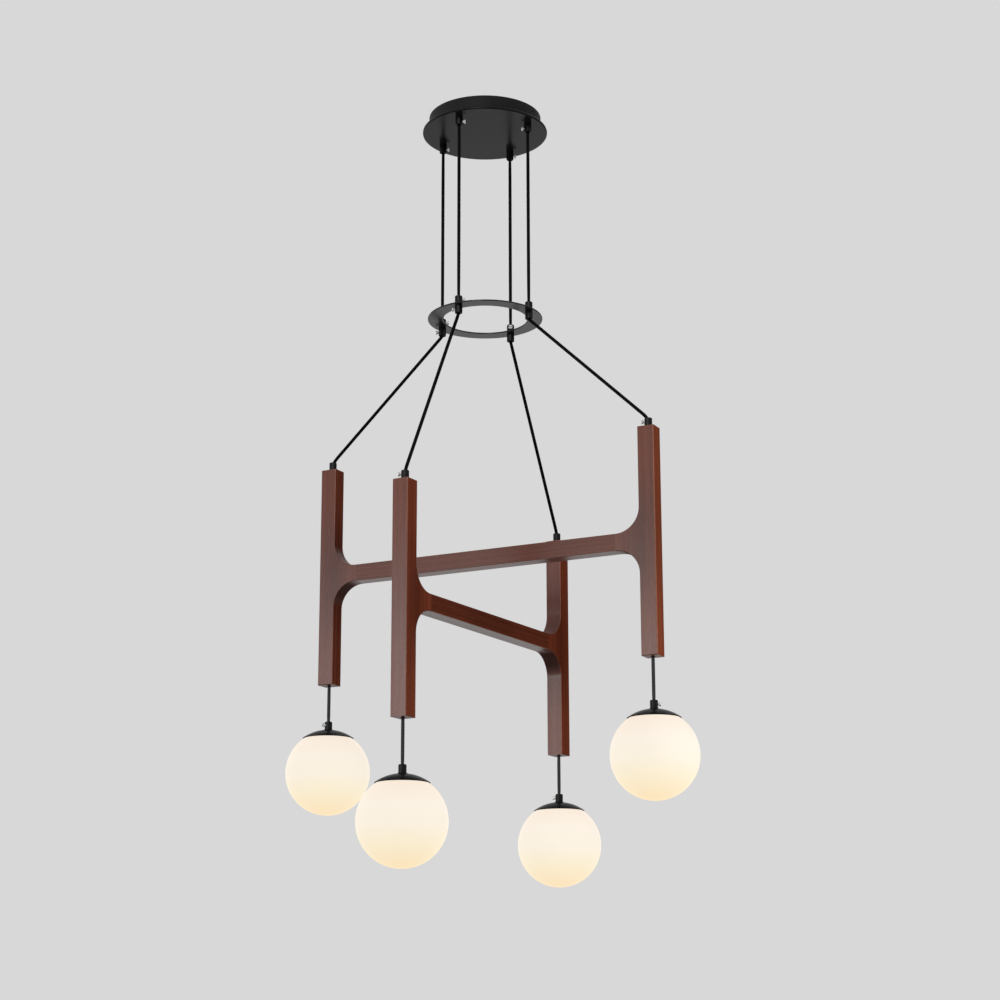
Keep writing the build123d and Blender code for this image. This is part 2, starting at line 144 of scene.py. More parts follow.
# Terminal block: a moulded nylon strip on the floor of the canopy, where the cords meet the supply.
# Slotted brass screws sit at the bottom of its wells.
def maths(tree, operation, *values):
    """Math node on sockets and numbers."""
    node = add(tree, "ShaderNodeMath", operation=operation)
    for socket, value in zip(node.inputs, values):
        if isinstance(value, (int, float)):
            socket.default_value = value
        else:
            tree.links.new(value, socket)
    return node.outputs["Value"]


def slotted_screw_tree():
    """Geometry Nodes that put a slotted screw on each point, pointed by the point's turn."""
    tree = bpy.data.node_groups.new("slotted_screws", "GeometryNodeTree")
    wire = tree.links.new
    face = tree.interface
    face.new_socket("Geometry", in_out="INPUT", socket_type="NodeSocketGeometry")
    for label in (
        "Shank Radius", "Shank Length", "Head Radius", "Head Length", "Rim", "Slot Width", "Slot Depth"
    ):
        face.new_socket(label, in_out="INPUT", socket_type="NodeSocketFloat")
    face.new_socket("Finish", in_out="INPUT", socket_type="NodeSocketMaterial")
    face.new_socket("Geometry", in_out="OUTPUT", socket_type="NodeSocketGeometry")
    given = add(tree, "NodeGroupInput").outputs
    result = add(tree, "NodeGroupOutput")

    def raised(mesh, height):
        lift = add(tree, "ShaderNodeCombineXYZ")
        move = add(tree, "GeometryNodeTransform")
        wire(height, lift.inputs["Z"])
        wire(mesh, move.inputs["Geometry"])
        wire(lift.outputs["Vector"], move.inputs["Translation"])
        return move.outputs["Geometry"]

    shank = add(tree, "GeometryNodeMeshCylinder", {"Vertices": 24})
    wire(given["Shank Radius"], shank.inputs["Radius"])
    wire(given["Shank Length"], shank.inputs["Depth"])
    head = add(tree, "GeometryNodeMeshCylinder", {"Vertices": 40, "Side Segments": 2})
    wire(given["Head Radius"], head.inputs["Radius"])
    wire(given["Head Length"], head.inputs["Depth"])

    # The head has three rows of points. The lowest is drawn in to the shank, and the middle one
    # is lifted to the foot of the rim.
    spot = add(tree, "GeometryNodeInputPosition")
    parts = add(tree, "ShaderNodeSeparateXYZ")
    wire(spot.outputs["Position"], parts.inputs["Vector"])
    half_head = maths(tree, "MULTIPLY", given["Head Length"], 0.5)

    def rows(operation, share):
        node = add(tree, "FunctionNodeCompare", operation=operation)
        wire(parts.outputs["Z"], node.inputs["A"])
        wire(maths(tree, "MULTIPLY", given["Head Length"], share), node.inputs["B"])
        return node.outputs["Result"]

    pinch = maths(tree, "DIVIDE", given["Shank Radius"], given["Head Radius"])
    narrowed = add(tree, "ShaderNodeCombineXYZ")
    wire(maths(tree, "MULTIPLY", parts.outputs["X"], pinch), narrowed.inputs["X"])
    wire(maths(tree, "MULTIPLY", parts.outputs["Y"], pinch), narrowed.inputs["Y"])
    wire(parts.outputs["Z"], narrowed.inputs["Z"])
    flared = add(tree, "GeometryNodeSetPosition")
    wire(head.outputs["Mesh"], flared.inputs["Geometry"])
    wire(rows("LESS_THAN", -0.4), flared.inputs["Selection"])
    wire(narrowed.outputs["Vector"], flared.inputs["Position"])
    rim_lift = add(tree, "ShaderNodeCombineXYZ")
    wire(maths(tree, "SUBTRACT", half_head, given["Rim"]), rim_lift.inputs["Z"])
    middle = add(tree, "FunctionNodeBooleanMath", operation="AND")
    wire(rows("GREATER_THAN", -0.1), middle.inputs[0])
    wire(rows("LESS_THAN", 0.1), middle.inputs[1])
    rimmed = add(tree, "GeometryNodeSetPosition")
    wire(flared.outputs["Geometry"], rimmed.inputs["Geometry"])
    wire(middle.outputs["Boolean"], rimmed.inputs["Selection"])
    wire(rim_lift.outputs["Vector"], rimmed.inputs["Offset"])

    cutter_size = add(tree, "ShaderNodeCombineXYZ")
    wire(given["Slot Width"], cutter_size.inputs["X"])
    wire(maths(tree, "MULTIPLY", given["Head Radius"], 3), cutter_size.inputs["Y"])
    wire(maths(tree, "MULTIPLY", given["Slot Depth"], 2), cutter_size.inputs["Z"])
    cutter = add(tree, "GeometryNodeMeshCube")
    wire(cutter_size.outputs["Vector"], cutter.inputs["Size"])
    slotted = add(tree, "GeometryNodeMeshBoolean", operation="DIFFERENCE")
    wire(rimmed.outputs["Geometry"], slotted.inputs["Mesh 1"])
    wire(raised(cutter.outputs["Mesh"], half_head), slotted.inputs["Mesh 2"])

    screw = add(tree, "GeometryNodeJoinGeometry")
    half_shank = maths(tree, "MULTIPLY", given["Shank Length"], 0.5)
    head_middle = maths(tree, "ADD", given["Shank Length"], half_head)
    wire(raised(shank.outputs["Mesh"], half_shank), screw.inputs["Geometry"])
    wire(raised(slotted.outputs["Mesh"], head_middle), screw.inputs["Geometry"])

    turn = add(tree, "GeometryNodeInputNamedAttribute", {"Name": "turn"}, data_type="FLOAT_VECTOR")
    pointed = add(tree, "FunctionNodeEulerToRotation")
    wire(turn.outputs["Attribute"], pointed.inputs["Euler"])
    placed = add(tree, "GeometryNodeInstanceOnPoints")
    wire(given["Geometry"], placed.inputs["Points"])
    wire(screw.outputs["Geometry"], placed.inputs["Instance"])
    wire(pointed.outputs["Rotation"], placed.inputs["Rotation"])
    half_turn = {"Min": (0, 0, 0), "Max": (0, 0, pi), "Seed": 7}
    spin = add(tree, "FunctionNodeRandomValue", half_turn, data_type="FLOAT_VECTOR")
    spun = add(tree, "FunctionNodeEulerToRotation")
    wire(spin.outputs["Value"], spun.inputs["Euler"])
    driven = add(tree, "GeometryNodeRotateInstances", {"Local Space": True})
    wire(placed.outputs["Instances"], driven.inputs["Instances"])
    wire(spun.outputs["Rotation"], driven.inputs["Rotation"])

    real = add(tree, "GeometryNodeRealizeInstances")
    finished = add(tree, "GeometryNodeSetMaterial")
    wire(driven.outputs["Instances"], real.inputs["Geometry"])
    wire(real.outputs["Geometry"], finished.inputs["Geometry"])
    wire(given["Finish"], finished.inputs["Material"])
    wire(finished.outputs["Geometry"], result.inputs["Geometry"])
    return tree


screw_tree = slotted_screw_tree()


def screws(name, places, turns, sizes, finish, body):
    """Screws on points as one plain mesh that rides on a body."""
    mesh = bpy.data.meshes.new(name)
    mesh.from_pydata(places, [], [])
    turn = mesh.attributes.new("turn", "FLOAT_VECTOR", "POINT")
    turn.data.foreach_set("vector", [angle for euler in turns for angle in euler])
    piece = bpy.data.objects.new(name, mesh)
    bpy.context.scene.collection.objects.link(piece)
    nodes_modifier = piece.modifiers.new("screws", "NODES")
    nodes_modifier.node_group = screw_tree
    for item in screw_tree.interface.items_tree:
        if item.in_out == "INPUT" and item.name in sizes:
            nodes_modifier[item.identifier] = sizes[item.name]
        if item.name == "Finish":
            nodes_modifier[item.identifier] = finish
    bpy.context.view_layer.update()
    evaluated = piece.evaluated_get(bpy.context.evaluated_depsgraph_get())
    made = bpy.data.meshes.new_from_object(evaluated)
    piece.modifiers.remove(nodes_modifier)
    piece.data = made
    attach(piece, body)
    return piece


terminal_nylon = mottled(
    "terminal_nylon", dark=(0.70, 0.69, 0.63), light=(0.80, 0.79, 0.74), rough=(0.42, 0.55),
    grain=4000, depth=0.00002,
)
dress(terminal_nylon, "terminal_block")
brass = mottled(
    "brass", dark=(0.60, 0.42, 0.17), light=(0.74, 0.55, 0.26), rough=(0.25, 0.40),
    grain=3000, depth=0.00002, metallic=1.0,
)
terminal_sizes = {
    "Shank Radius": 0.0015, "Shank Length": 0.001, "Head Radius": 0.0017, "Head Length": 0.0024,
    "Rim": 0.0016, "Slot Width": 0.0006, "Slot Depth": 0.0008,
}
terminal_pitch = 0.011
terminal_row = 0.0045
well_depth = 0.005
well_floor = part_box("terminal_block")[1].z - well_depth
wells = [
    (column * terminal_pitch, row * terminal_row, well_floor - terminal_sizes["Shank Length"])
    for column in (-1, 0, 1)
    for row in (-1, 1)
]
screws("terminal_screws", wells, [(0, 0, 0)] * len(wells), terminal_sizes, brass, "canopy")

# Canopy: a spun steel drum on a flat steel disc, both sprayed black. The drum is satin,
# and the disc below it has a glossier coat that mirrors the grips.
satin_black = mottled(
    "satin_black", dark=(0.012, 0.012, 0.013), light=(0.016, 0.016, 0.017), rough=(0.52, 0.62),
    grain=1400, depth=0.00003, specular=0.14,
)
gloss_black = mottled(
    "gloss_black", dark=(0.009, 0.009, 0.010), light=(0.010, 0.010, 0.011), rough=(0.22, 0.25),
    grain=500, depth=0.00002, specular=0.10, patch=25,
)
dress(satin_black, "canopy_drum", "canopy_set_screws")
dress(gloss_black, "canopy_disc")

# Cord grips: black moulded plastic with a smooth skin. They screw into the canopy, through the ring,
# and into the posts and the lamp caps.
grip_plastic = mottled(
    "grip_plastic", dark=(0.002, 0.002, 0.002), light=(0.004, 0.004, 0.004), rough=(0.34, 0.42),
    grain=1800, depth=0.00001, specular=0.20,
)
sides = ("left", "right", "front", "back")
dress(grip_plastic, "canopy_grips", "ring_grips", "long_frame_top_grips", "short_frame_top_grips")
dress(grip_plastic, *[f"{side}_lamp_grip" for side in sides])

# Cords: round black flex, 4.8 mm over its sheath, pulled straight by what hangs on it and rounded off
# inside the mouths that it turns in. The lamps' short cords are the same flex, with a sheath painted greyer
# as a painted sheen, and the tails inside the canopy are the same flex as the long ones.
cord_diameter = 0.0048
cord_steps = 12
cord_roundness = 6
tip_share = 0.12
shoulder_share = 0.6
shoulder_step = 0.0001
cord_sheath = mottled(
    "cord_sheath", dark=(0.001, 0.001, 0.001), light=(0.002, 0.002, 0.002), rough=(0.46, 0.52),
    grain=300, depth=0.000002, specular=0.05,
)
# Painted sheen: the same flex as the long cords, with a greyer sheath and more gloss.
lamp_sheath_painted_sheen = mottled(
    "lamp_sheath_painted_sheen", dark=(0.018, 0.020, 0.020), light=(0.024, 0.027, 0.028), rough=(0.38, 0.44),
    grain=300, depth=0.000002, specular=0.25,
)
dress(cord_sheath, "canopy_cord_tails")


def round_end(mouth, way):
    """Start of a route, rounded off about its mouth: places, each with its share of the cord's width."""
    tip = mouth - cord_diameter / 2 * way
    return [(tip, tip_share), (tip + shoulder_step * way, shoulder_share), (mouth, 1.0)]


def flex(name, route, sheath, body, node):
    """Cord on a NURBS line along its route, which rides on a body and stands for a node."""
    curve = bpy.data.curves.new(name, "CURVE")
    curve.dimensions = "3D"
    curve.resolution_u = cord_steps
    curve.bevel_depth = cord_diameter / 2
    curve.bevel_resolution = cord_roundness
    curve.use_fill_caps = True
    line = curve.splines.new("NURBS")
    line.points.add(len(route) - 1)
    for point, (place, share) in zip(line.points, route):
        point.co = (*place, 1)
        point.radius = share
    line.order_u = 3
    line.use_endpoint_u = True
    curve.materials.append(sheath)
    cord = bpy.data.objects.new(name, curve)
    bpy.context.scene.collection.objects.link(cord)
    bpy.context.view_layer.update()
    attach(cord, body)
    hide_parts(node)


down = Vector((0, 0, -1))
for side in sides:
    for name, sheath, body, node in (
        (f"upper_flex_{side}", cord_sheath, f"{side}_upper_line", f"upper_cord_{side}"),
        (f"{side}_lamp_flex", lamp_sheath_painted_sheen, f"{side}_lamp_line", f"{side}_lamp_cord"),
    ):
        low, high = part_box(node)
        middle = (low + high) / 2
        reach = (high.z - low.z - cord_diameter) / 2
        start = round_end(middle - reach * down, down)
        end = round_end(middle + reach * down, -down)
        flex(name, [*start, (middle, 1.0), *reversed(end)], sheath, body, node)

mouth_depth = Vector((0, 0, 0.004))
straight = 6 * cord_diameter
ring_mouths = {
    "left": (-0.073, 0, -0.327),
    "right": (0.073, 0, -0.327),
    "front": (0, -0.073, -0.327),
    "back": (0, 0.073, -0.327),
}
post_mouths = {
    "left": (-0.251386, -0.017579, -0.498),
    "right": (0.251386, 0.017579, -0.498),
    "front": (0, -0.208, -0.59),
    "back": (0, 0.208, -0.59),
}
frame_ends = {"long_frame": ("left", "right"), "short_frame": ("front", "back")}
for body, ends in frame_ends.items():
    for side in ends:
        start = Vector(ring_mouths[side])
        end = Vector(post_mouths[side])
        along = (end - start).normalized()
        held = [start + straight * along, end - straight * along, end, end - mouth_depth]
        route = [*round_end(start, along), *[(place, 1.0) for place in held]]
        flex(f"{body}_{side}_flex", route, cord_sheath, body, f"{body}_{side}_cord")

# Ring: laser-cut steel plate, sprayed black with more gloss than the canopy. The upper and lower grips
# screw together through it and clamp it between them.
ring_black = mottled(
    "ring_black", dark=(0.011, 0.011, 0.012), light=(0.016, 0.016, 0.017), rough=(0.18, 0.24),
    grain=500, depth=0.00002, specular=0.25,
)
dress(ring_black, "ring_plate")

# Wooden frames: each post is one piece of walnut with its stub, the grain upright, and the beam between
# the stubs has its grain along it. The wood is stained and has a satin lacquer.
stain_dark = (0.128, 0.0272, 0.0118)
stain_light = (0.205, 0.0475, 0.0218)
pore_brown = (0.040, 0.010, 0.005)
rubbed_and_highlight_tan = (0.46, 0.20, 0.12)
stub_band_brown = (0.055, 0.010, 0.005)
end_grain_and_shade_brown = (0.022, 0.005, 0.0025)
bore_shade_black = (0.004, 0.002, 0.0015)
bore_shade_radius = (0.0040, 0.0044)
pore_depth = 0.00003
lacquer_rough = (0.24, 0.33)
post_specular = 0.5
beam_specular = 0.42
upwards = (0, 0, 1)


def along_axis(tree, vector, axis):
    """Length of a vector along a fixed axis."""
    node = add(tree, "ShaderNodeVectorMath", {1: axis}, operation="DOT_PRODUCT")
    tree.links.new(vector, node.inputs[0])
    return node.outputs["Value"]


def length_of(tree, vector):
    """Length of a vector."""
    node = add(tree, "ShaderNodeVectorMath", operation="LENGTH")
    tree.links.new(vector, node.inputs[0])
    return node.outputs["Value"]


def mapped(tree, vector, sockets, **options):
    """Vector through a Mapping node."""
    node = add(tree, "ShaderNodeMapping", sockets, **options)
    tree.links.new(vector, node.inputs["Vector"])
    return node.outputs["Vector"]


def over(tree, mask, under, paint):
    """Paint over a colour, by a mask."""
    mix = add(tree, "ShaderNodeMix", data_type="RGBA")
    mix.inputs["B"].default_value = (*paint, 1)
    tree.links.new(mask, mix.inputs["Factor"])
    tree.links.new(under, mix.inputs["A"])
    return mix.outputs["Result"]


def toned(tone, colour):
    """Colour with its red, green and blue scaled by a tone."""
    return [share * level for share, level in zip(tone, colour)]


def walnut(name, heading, upright, shift, tone, bore=None):
    """Walnut with its grain upright, or along a frame's heading in degrees, with painted highlights on its
    edges, and dark round a bore, partly painted shade.
    """
    material, tree, shader = new_finish(name, post_specular if upright else beam_specular)
    place = add(tree, "ShaderNodeTexCoord").outputs
    lie = (0, 0, radians(heading)) if upright else (0, radians(90), radians(heading))
    grain = mapped(tree, place["Object"], {"Location": shift, "Rotation": lie}, vector_type="TEXTURE")

    def streaks(across, along, detail, harshness):
        noise = add(tree, "ShaderNodeTexNoise", {"Scale": 1.0, "Detail": detail, "Roughness": harshness})
        tree.links.new(mapped(tree, grain, {"Scale": (across, across, along)}), noise.inputs["Vector"])
        return noise.outputs["Fac"]

    # The figure mixes growth rings, long drawn out, with fine fibres, and open pores lie in it.
    rings = add(
        tree, "ShaderNodeTexWave",
        {"Scale": 30.0, "Distortion": 6.0, "Detail": 3.0, "Detail Scale": 0.35, "Detail Roughness": 0.6},
        wave_type="RINGS", rings_direction="Z", wave_profile="SIN",
    )
    tree.links.new(mapped(tree, grain, {"Scale": (1, 1, 0.08)}), rings.inputs["Vector"])
    fibre = streaks(across=420, along=5, detail=5.0, harshness=0.6)
    figure = add(tree, "ShaderNodeMix", {"Factor": 0.7}, data_type="FLOAT")
    tree.links.new(rings.outputs["Fac"], figure.inputs["A"])
    tree.links.new(span(tree, fibre, 0, 1, 0.2, 0.8), figure.inputs["B"])
    colour = tint(tree, figure.outputs["Result"], toned(tone, stain_dark), toned(tone, stain_light))
    pores = span(tree, streaks(across=1500, along=45, detail=2.0, harshness=0.5), 0, 0.45, 0.60, 0.72)
    colour = over(tree, pores, colour, pore_brown)

    # The eased edges are rubbed thin of stain and carry a painted highlight, where the normal leans between
    # side and edge.
    across_frame = (sin(radians(heading)), -cos(radians(heading)), 0)
    lean = maths(tree, "ABSOLUTE", along_axis(tree, place["Normal"], across_frame))
    from_edge = span(tree, lean, 0, 0.32, 0.05, 0.35)
    to_side = span(tree, lean, 0.32, 0, 0.90, 0.995)
    colour = over(tree, maths(tree, "MINIMUM", from_edge, to_side), colour, rubbed_and_highlight_tan)
    rough = span(tree, fibre, *lacquer_rough)

    if bore:
        # Round the stub, in a band at the height of the bore's middle, the wood is darker.
        middle = Vector(bore)
        inward = -middle.to_2d().normalized().to_3d()
        from_bore = mapped(tree, place["Object"], {"Location": -middle})
        depth = along_axis(tree, from_bore, inward)
        height = maths(tree, "ABSOLUTE", along_axis(tree, from_bore, upwards))
        into_stub = span(tree, depth, 0, 0.65, -0.022, 0.010)
        out_of_stub = span(tree, depth, 1, 0, 0.014, 0.046)
        round_stub = maths(tree, "MULTIPLY", into_stub, out_of_stub)
        stub_band = maths(tree, "MULTIPLY", round_stub, span(tree, height, 1, 0, 0.03, 0.11))
        colour = over(tree, stub_band, colour, toned(tone, stub_band_brown))

        # The hollow curves cut across the grain and are darker and matt as end grain; those facing down are
        # darker still with painted shade.
        upward = along_axis(tree, place["Normal"], upwards)
        cut_across = maths(tree, "ABSOLUTE", upward)
        leaning = span(tree, cut_across, 0, 1, 0.08, 0.5)
        not_level = span(tree, cut_across, 1, 0.2, 0.92, 0.995)
        curved = maths(tree, "MINIMUM", leaning, not_level)
        end_grain_and_shade = maths(tree, "MULTIPLY", curved, span(tree, upward, 0.75, 0.3, -0.3, 0.3))
        colour = over(tree, end_grain_and_shade, colour, end_grain_and_shade_brown)
        matt = add(tree, "ShaderNodeMix", {"B": 1.0}, data_type="FLOAT")
        tree.links.new(end_grain_and_shade, matt.inputs["Factor"])
        tree.links.new(rough, matt.inputs["A"])
        rough = matt.outputs["Result"]

        # The drilled bore and its chamfer are painted near black, a painted shade for the dark hole.
        from_axis = length_of(tree, mapped(tree, from_bore, {"Scale": (1, 1, 0)}))
        colour = over(tree, span(tree, from_axis, 1, 0, *bore_shade_radius), colour, bore_shade_black)

    tree.links.new(colour, shader.inputs["Base Color"])
    tree.links.new(rough, shader.inputs["Roughness"])
    relief(tree, shader, pores, -pore_depth)
    return material


frame_turns = {"long_frame": 4.0, "short_frame": 90.0}
beam_shifts = {"long_frame": (0.021, 0.034, 0.3), "short_frame": (0.021, -0.047, 0.3)}
# Each beam and post has its own tone, partly the wood's own and partly painted light and shade; the short
# beam is darkest.
beam_tones_and_light = {"long_frame": (0.93, 0.93, 0.92), "short_frame": (0.60, 0.62, 0.66)}
post_tones_and_light = {
    "left": (1.02, 1.0, 1.0),
    "right": (1.09, 1.21, 1.23),
    "front": (1.08, 1.10, 1.10),
    "back": (0.92, 0.90, 0.88),
}
heart_shift = Vector((0.028, -0.031, 0))
heart_heights = {"left": 0.4, "right": 0.5, "front": 0.5, "back": 0.4}
for body, ends in frame_ends.items():
    turn = frame_turns[body]
    beam_wood = walnut(f"walnut_{body}_beam", turn, False, beam_shifts[body], beam_tones_and_light[body])
    dress(beam_wood, f"{body}_beam")
    for end in ends:
        low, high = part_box(f"{body}_{end}_post")
        middle = (low + high) / 2
        heart = middle + heart_shift
        heart.z = heart_heights[end]
        bore = (*post_mouths[end][:2], middle.z)
        post_wood = walnut(f"walnut_{end}_post", turn, True, heart, post_tones_and_light[end], bore)
        dress(post_wood, f"{body}_{end}_post")

# Dowels: plain beech pins, two at each joint, glued into the beam and the stubs.
# They can't be seen once the frames are glued up.
beech = mottled(
    "beech", dark=(0.46, 0.29, 0.16), light=(0.60, 0.41, 0.25), rough=(0.55, 0.70),
    grain=900, depth=0.00005,
)
dress(beech, "long_frame_dowels", "short_frame_dowels")

# Lamps: a spun black cap holds a moulded lamp holder, and an opal globe screws on to the holder's skirt.
# The globe glows warm, paler towards its top, from a frosted capsule bulb.
holder_moulding = mottled(
    "holder_moulding", dark=(0.66, 0.65, 0.60), light=(0.76, 0.75, 0.71), rough=(0.40, 0.55),
    grain=3000, depth=0.00002,
)
bulb_frost = mottled(
    "bulb_frost", dark=(0.80, 0.78, 0.70), light=(0.86, 0.84, 0.78), rough=(0.45, 0.60),
    grain=3000, depth=0.00002,
)
cap_black = mottled(
    "cap_black", dark=(0.002, 0.002, 0.002), light=(0.004, 0.004, 0.004), rough=(0.24, 0.30),
    grain=700, depth=0.00001, specular=0.04,
)
dress(holder_moulding, *[f"{side}_lamp_holder" for side in sides])
dress(bulb_frost, *[f"{side}_lamp_bulb" for side in sides])
dress(cap_black, *[f"{side}_lamp_cap" for side in sides])
glow_foot = (0.94, 0.75, 0.48, 1)
glow_top = (0.87, 0.74, 0.62, 1)
glow_between = (
    (0.22, (0.91, 0.80, 0.585, 1)),
    (0.45, (0.895, 0.815, 0.685, 1)),
    (0.65, (0.89, 0.81, 0.70, 1)),
)
glass_dark = (0.11, 0.10, 0.09)
glass_light = (0.125, 0.115, 0.105)
glass_rough = 0.5
glass_relief = 0.00002
cloud_scale = 35


def opal(name, low_z, high_z):
    """Lit opal glass whose glow runs from amber at its foot to a pale cream."""
    material, tree, shader = new_finish(name, specular=0.06)
    place = add(tree, "ShaderNodeTexCoord")
    parts = add(tree, "ShaderNodeSeparateXYZ")
    tree.links.new(place.outputs["Object"], parts.inputs["Vector"])
    glow = add(tree, "ShaderNodeValToRGB")
    stops = glow.color_ramp.elements
    stops[0].position = 0.0
    stops[0].color = glow_foot
    stops[1].position = 1.0
    stops[1].color = glow_top
    for position, colour in glow_between:
        stop = stops.new(position)
        stop.color = colour
    tree.links.new(span(tree, parts.outputs["Z"], 0, 1, low_z, high_z), glow.inputs["Fac"])
    tree.links.new(glow.outputs["Color"], shader.inputs["Emission Color"])
    shader.inputs["Emission Strength"].default_value = 1.0
    cloud = speckle(tree, cloud_scale)
    glass = tint(tree, span(tree, cloud, 0, 1), glass_dark, glass_light)
    tree.links.new(glass, shader.inputs["Base Color"])
    shader.inputs["Roughness"].default_value = glass_rough
    relief(tree, shader, cloud, glass_relief)
    return material


for side in sides:
    low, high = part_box(f"{side}_lamp_globe")
    dress(opal(f"opal_{side}", low.z, high.z), f"{side}_lamp_globe")

# Clamp screws: white nylon, with slotted heads that flare out. One is screwed into the side of each grip,
# down to the cord, and holds it at its length.
nylon = mottled(
    "nylon", dark=(0.90, 0.90, 0.88), light=(0.94, 0.94, 0.92), rough=(0.30, 0.42),
    grain=2500, depth=0.00001,
)
clamp_sizes = {
    "Shank Radius": 0.0015, "Shank Length": 0.0032, "Head Radius": 0.003, "Head Length": 0.0036,
    "Rim": 0.0008, "Slot Width": 0.0009, "Slot Depth": 0.0011,
}
clamp_reach = 0.0025
clamp_depth = 0.0055
clamp_heading = 30.0
canopy_clamps = {"left": 0, "right": 180, "front": 0, "back": 0}
ring_upper_clamps = {"left": 0, "right": 90, "front": 0, "back": 270}
ring_lower_clamps = {"left": 180, "right": 90, "front": 180, "back": 90}
post_clamps = {"left": 90, "right": 180, "front": 180, "back": 90}
lamp_clamps = {"left": 215, "right": 0, "front": 90, "back": 180}


def clamp_screws(name, clamps, body, replaced):
    """Clamp screws on one body, for a node: each by its grip's mouth, its height and its heading."""
    places = []
    turns = []
    for mouth, height, heading in clamps:
        way = radians(heading + clamp_heading)
        places.append((mouth[0] + clamp_reach * cos(way), mouth[1] + clamp_reach * sin(way), height))
        turns.append((0, pi / 2, way))
    piece = screws(name, places, turns, clamp_sizes, nylon, body)
    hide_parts(replaced)


low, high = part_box("canopy_grips")
clamps = [(ring_mouths[side], low.z + clamp_depth, canopy_clamps[side]) for side in sides]
clamp_screws("canopy_clamp_screws", clamps, "canopy", "canopy_grip_screws")
low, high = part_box("ring_grips")
clamps = [(ring_mouths[side], high.z - clamp_depth, ring_upper_clamps[side]) for side in sides]
clamps += [(ring_mouths[side], low.z + clamp_depth, ring_lower_clamps[side]) for side in sides]
clamp_screws("ring_clamp_screws", clamps, "ring", "ring_grip_screws")
for body, ends in frame_ends.items():
    clamps = [(post_mouths[end], post_mouths[end][2] - clamp_depth, post_clamps[end]) for end in ends]
    clamp_screws(f"{body}_clamp_screws", clamps, body, f"{body}_top_grip_screws")
for side in sides:
    low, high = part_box(f"{side}_lamp_grip")
    clamps = [(post_mouths[side], high.z - clamp_depth, lamp_clamps[side])]
    clamp_screws(f"{side}_lamp_clamp_screw", clamps, f"{side}_lamp", f"{side}_lamp_grip_screw")

# Camera: below the light and looking up at it, from its front right.
# The lens is long, so the posts stay almost parallel.
view_heading = radians(120.57)
view_distance = 2.997
view_side = 0.021
view_height = -1.369
view_pitch = radians(14.67)
view_roll = radians(-0.13)
forward = Vector((cos(view_heading), sin(view_heading), 0))
right = Vector((sin(view_heading), -cos(view_heading), 0))
camera_data = bpy.data.cameras.new("camera")
camera_data.sensor_width = 36.0
camera_data.lens = 78.69
camera = bpy.data.objects.new("camera", camera_data)
bpy.context.scene.collection.objects.link(camera)
camera.matrix_world = (
    Matrix.Translation(view_side * right - view_distance * forward + Vector((0, 0, view_height)))
    @ Matrix.Rotation(view_heading - pi / 2, 4, "Z")
    @ Matrix.Rotation(pi / 2 + view_pitch, 4, "X")
    @ Matrix.Rotation(view_roll, 4, "Z")
)
bpy.context.scene.camera = camera

# Studio: a pale painted floor well below the light, and a plain grey all round. Both glow only for rays
# of the camera, of reflections and of clear glass. The lamps and a weak fill light the object.
floor_z = -3.0
floor_radius = 60.0
floor_edges = 128
floor_rim = [2 * pi * step / floor_edges for step in range(floor_edges)]
floor_mesh = bpy.data.meshes.new("floor")
floor_mesh.from_pydata(
    [(floor_radius * cos(angle), floor_radius * sin(angle), floor_z) for angle in floor_rim],
    [],
    [range(floor_edges)],
)
floor = bpy.data.objects.new("floor", floor_mesh)
bpy.context.scene.collection.objects.link(floor)
floor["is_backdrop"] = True


def seen_rays(tree, mirror_share=1.0):
    """One for rays of the camera and of clear glass, a share for reflections, zero for rays of light."""
    rays = add(tree, "ShaderNodeLightPath").outputs
    mirror = maths(tree, "MULTIPLY", rays["Is Glossy Ray"], mirror_share)
    seen = maths(tree, "MAXIMUM", rays["Is Camera Ray"], mirror)
    return maths(tree, "MAXIMUM", seen, rays["Is Transmission Ray"])


floor_dark = (0.66, 0.66, 0.66)
floor_light = (0.68, 0.68, 0.68)
floor_rough = 0.8
floor_mottle = 0.6
near_glow = 0.44
far_glow = 0.633
glow_reach = (3.2, 6.5)
mirror_glow = 1.05
mirror_reach = (1.5, 3.5)
floor_paint, tree, shader = new_finish("pale_floor", specular=0.0)
paint = tint(tree, speckle(tree, floor_mottle), floor_dark, floor_light)
tree.links.new(paint, shader.inputs["Base Color"])
shader.inputs["Roughness"].default_value = floor_rough
shader.inputs["Emission Color"].default_value = (1, 1, 1, 1)
place = add(tree, "ShaderNodeTexCoord").outputs["Object"]
mirror_share = span(tree, along_axis(tree, place, forward), 0, mirror_glow, *mirror_reach)
glow = span(tree, length_of(tree, place), near_glow, far_glow, *glow_reach)
floor_glow = maths(tree, "MULTIPLY", seen_rays(tree, mirror_share), glow)
tree.links.new(floor_glow, shader.inputs["Emission Strength"])
floor_mesh.materials.append(floor_paint)

backdrop_grey = (0.687, 0.687, 0.687, 1)
fill_strength = 0.08
world = bpy.data.worlds.new("studio")
world.use_nodes = True
bpy.context.scene.world = world
sky = world.node_tree
fill = sky.nodes["Background"]
fill.inputs["Color"].default_value = (1, 1, 1, 1)
fill.inputs["Strength"].default_value = fill_strength
backdrop = add(sky, "ShaderNodeBackground", {"Color": backdrop_grey, "Strength": 1.0})
choice = add(sky, "ShaderNodeMixShader")
sky.links.new(seen_rays(sky), choice.inputs["Fac"])
sky.links.new(fill.outputs["Background"], choice.inputs[1])
sky.links.new(backdrop.outputs["Background"], choice.inputs[2])
sky.links.new(choice.outputs["Shader"], sky.nodes["World Output"].inputs["Surface"])

# Studio lamps and flag: a large soft lamp low on the left, whose reflection veils the lower wood, and one
# in front. A small one near the right post and two at the back show no mirror image, and a black card
# keeps the right faces free of reflections.
aim_height = -0.75


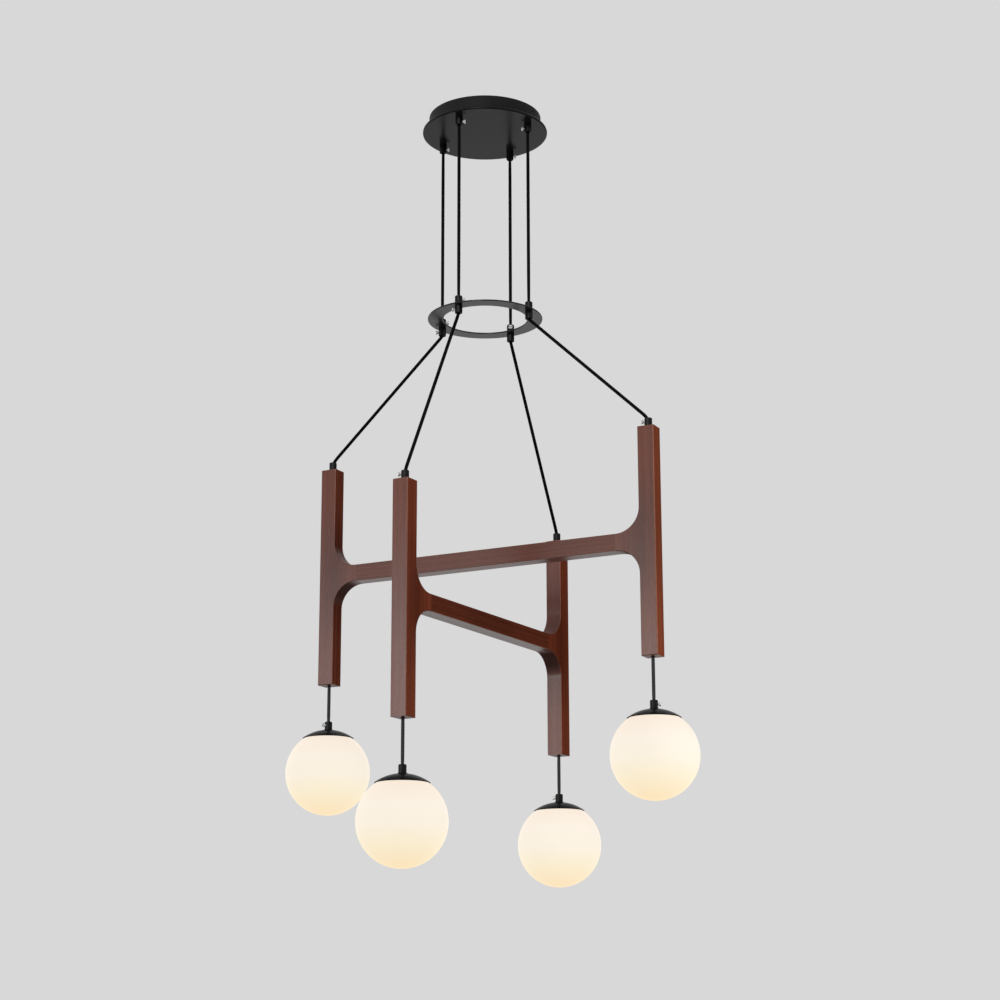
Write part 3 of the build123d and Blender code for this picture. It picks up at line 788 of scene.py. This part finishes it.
def stand(bearing, distance, height):
    """Place by its bearing in degrees right of the camera's own side, turned to face the light."""
    way = cos(radians(bearing)) * -forward + sin(radians(bearing)) * right
    spot = distance * way + Vector((0, 0, height))
    aim = Vector((0, 0, aim_height)) - spot
    return Matrix.Translation(spot) @ aim.to_track_quat("-Z", "Y").to_matrix().to_4x4()


def softbox(name, bearing, distance, height, width, tall, radiance, mirrored):
    """Area lamp that faces the light, with or without a mirror image."""
    lamp_data = bpy.data.lights.new(name, "AREA")
    lamp_data.shape = "RECTANGLE"
    lamp_data.size = width
    lamp_data.size_y = tall
    lamp_data.energy = radiance * pi * width * tall
    lamp = bpy.data.objects.new(name, lamp_data)
    bpy.context.scene.collection.objects.link(lamp)
    lamp.matrix_world = stand(bearing, distance, height)
    lamp.visible_camera = False
    lamp.visible_glossy = mirrored


softbox("key", -48, distance=2.6, height=-0.6, width=1.6, tall=0.75, radiance=4.2, mirrored=True)
softbox("right_fill", 64, distance=0.95, height=-0.85, width=0.35, tall=0.7, radiance=7.4, mirrored=False)
softbox("front", -14, distance=2.2, height=0.4, width=0.8, tall=0.7, radiance=9.0, mirrored=True)
for name, bearing in (("back_left", -118), ("back_right", 168)):
    softbox(name, bearing, distance=2.2, height=0.3, width=0.9, tall=0.9, radiance=7.0, mirrored=False)

flag_x = 0.75
flag_y = 0.8
flag_mesh = bpy.data.meshes.new("flag")
flag_mesh.from_pydata(
    [(-flag_x, -flag_y, 0), (flag_x, -flag_y, 0), (flag_x, flag_y, 0), (-flag_x, flag_y, 0)],
    [],
    [(0, 1, 2, 3)],
)
flag = bpy.data.objects.new("flag", flag_mesh)
bpy.context.scene.collection.objects.link(flag)
flag.matrix_world = stand(123, distance=1.6, height=-0.4)
flag.visible_camera = False
flag_black = mottled(
    "flag_black", dark=(0.004, 0.004, 0.004), light=(0.006, 0.006, 0.006), rough=(0.8, 0.9),
    grain=40, depth=0.0001, specular=0.0,
)
flag_mesh.materials.append(flag_black)
flag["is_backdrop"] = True

# The picture shows colours as they are written, and the box of the dressed light is found.
bpy.context.scene.view_settings.view_transform = "Standard"
low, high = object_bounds()
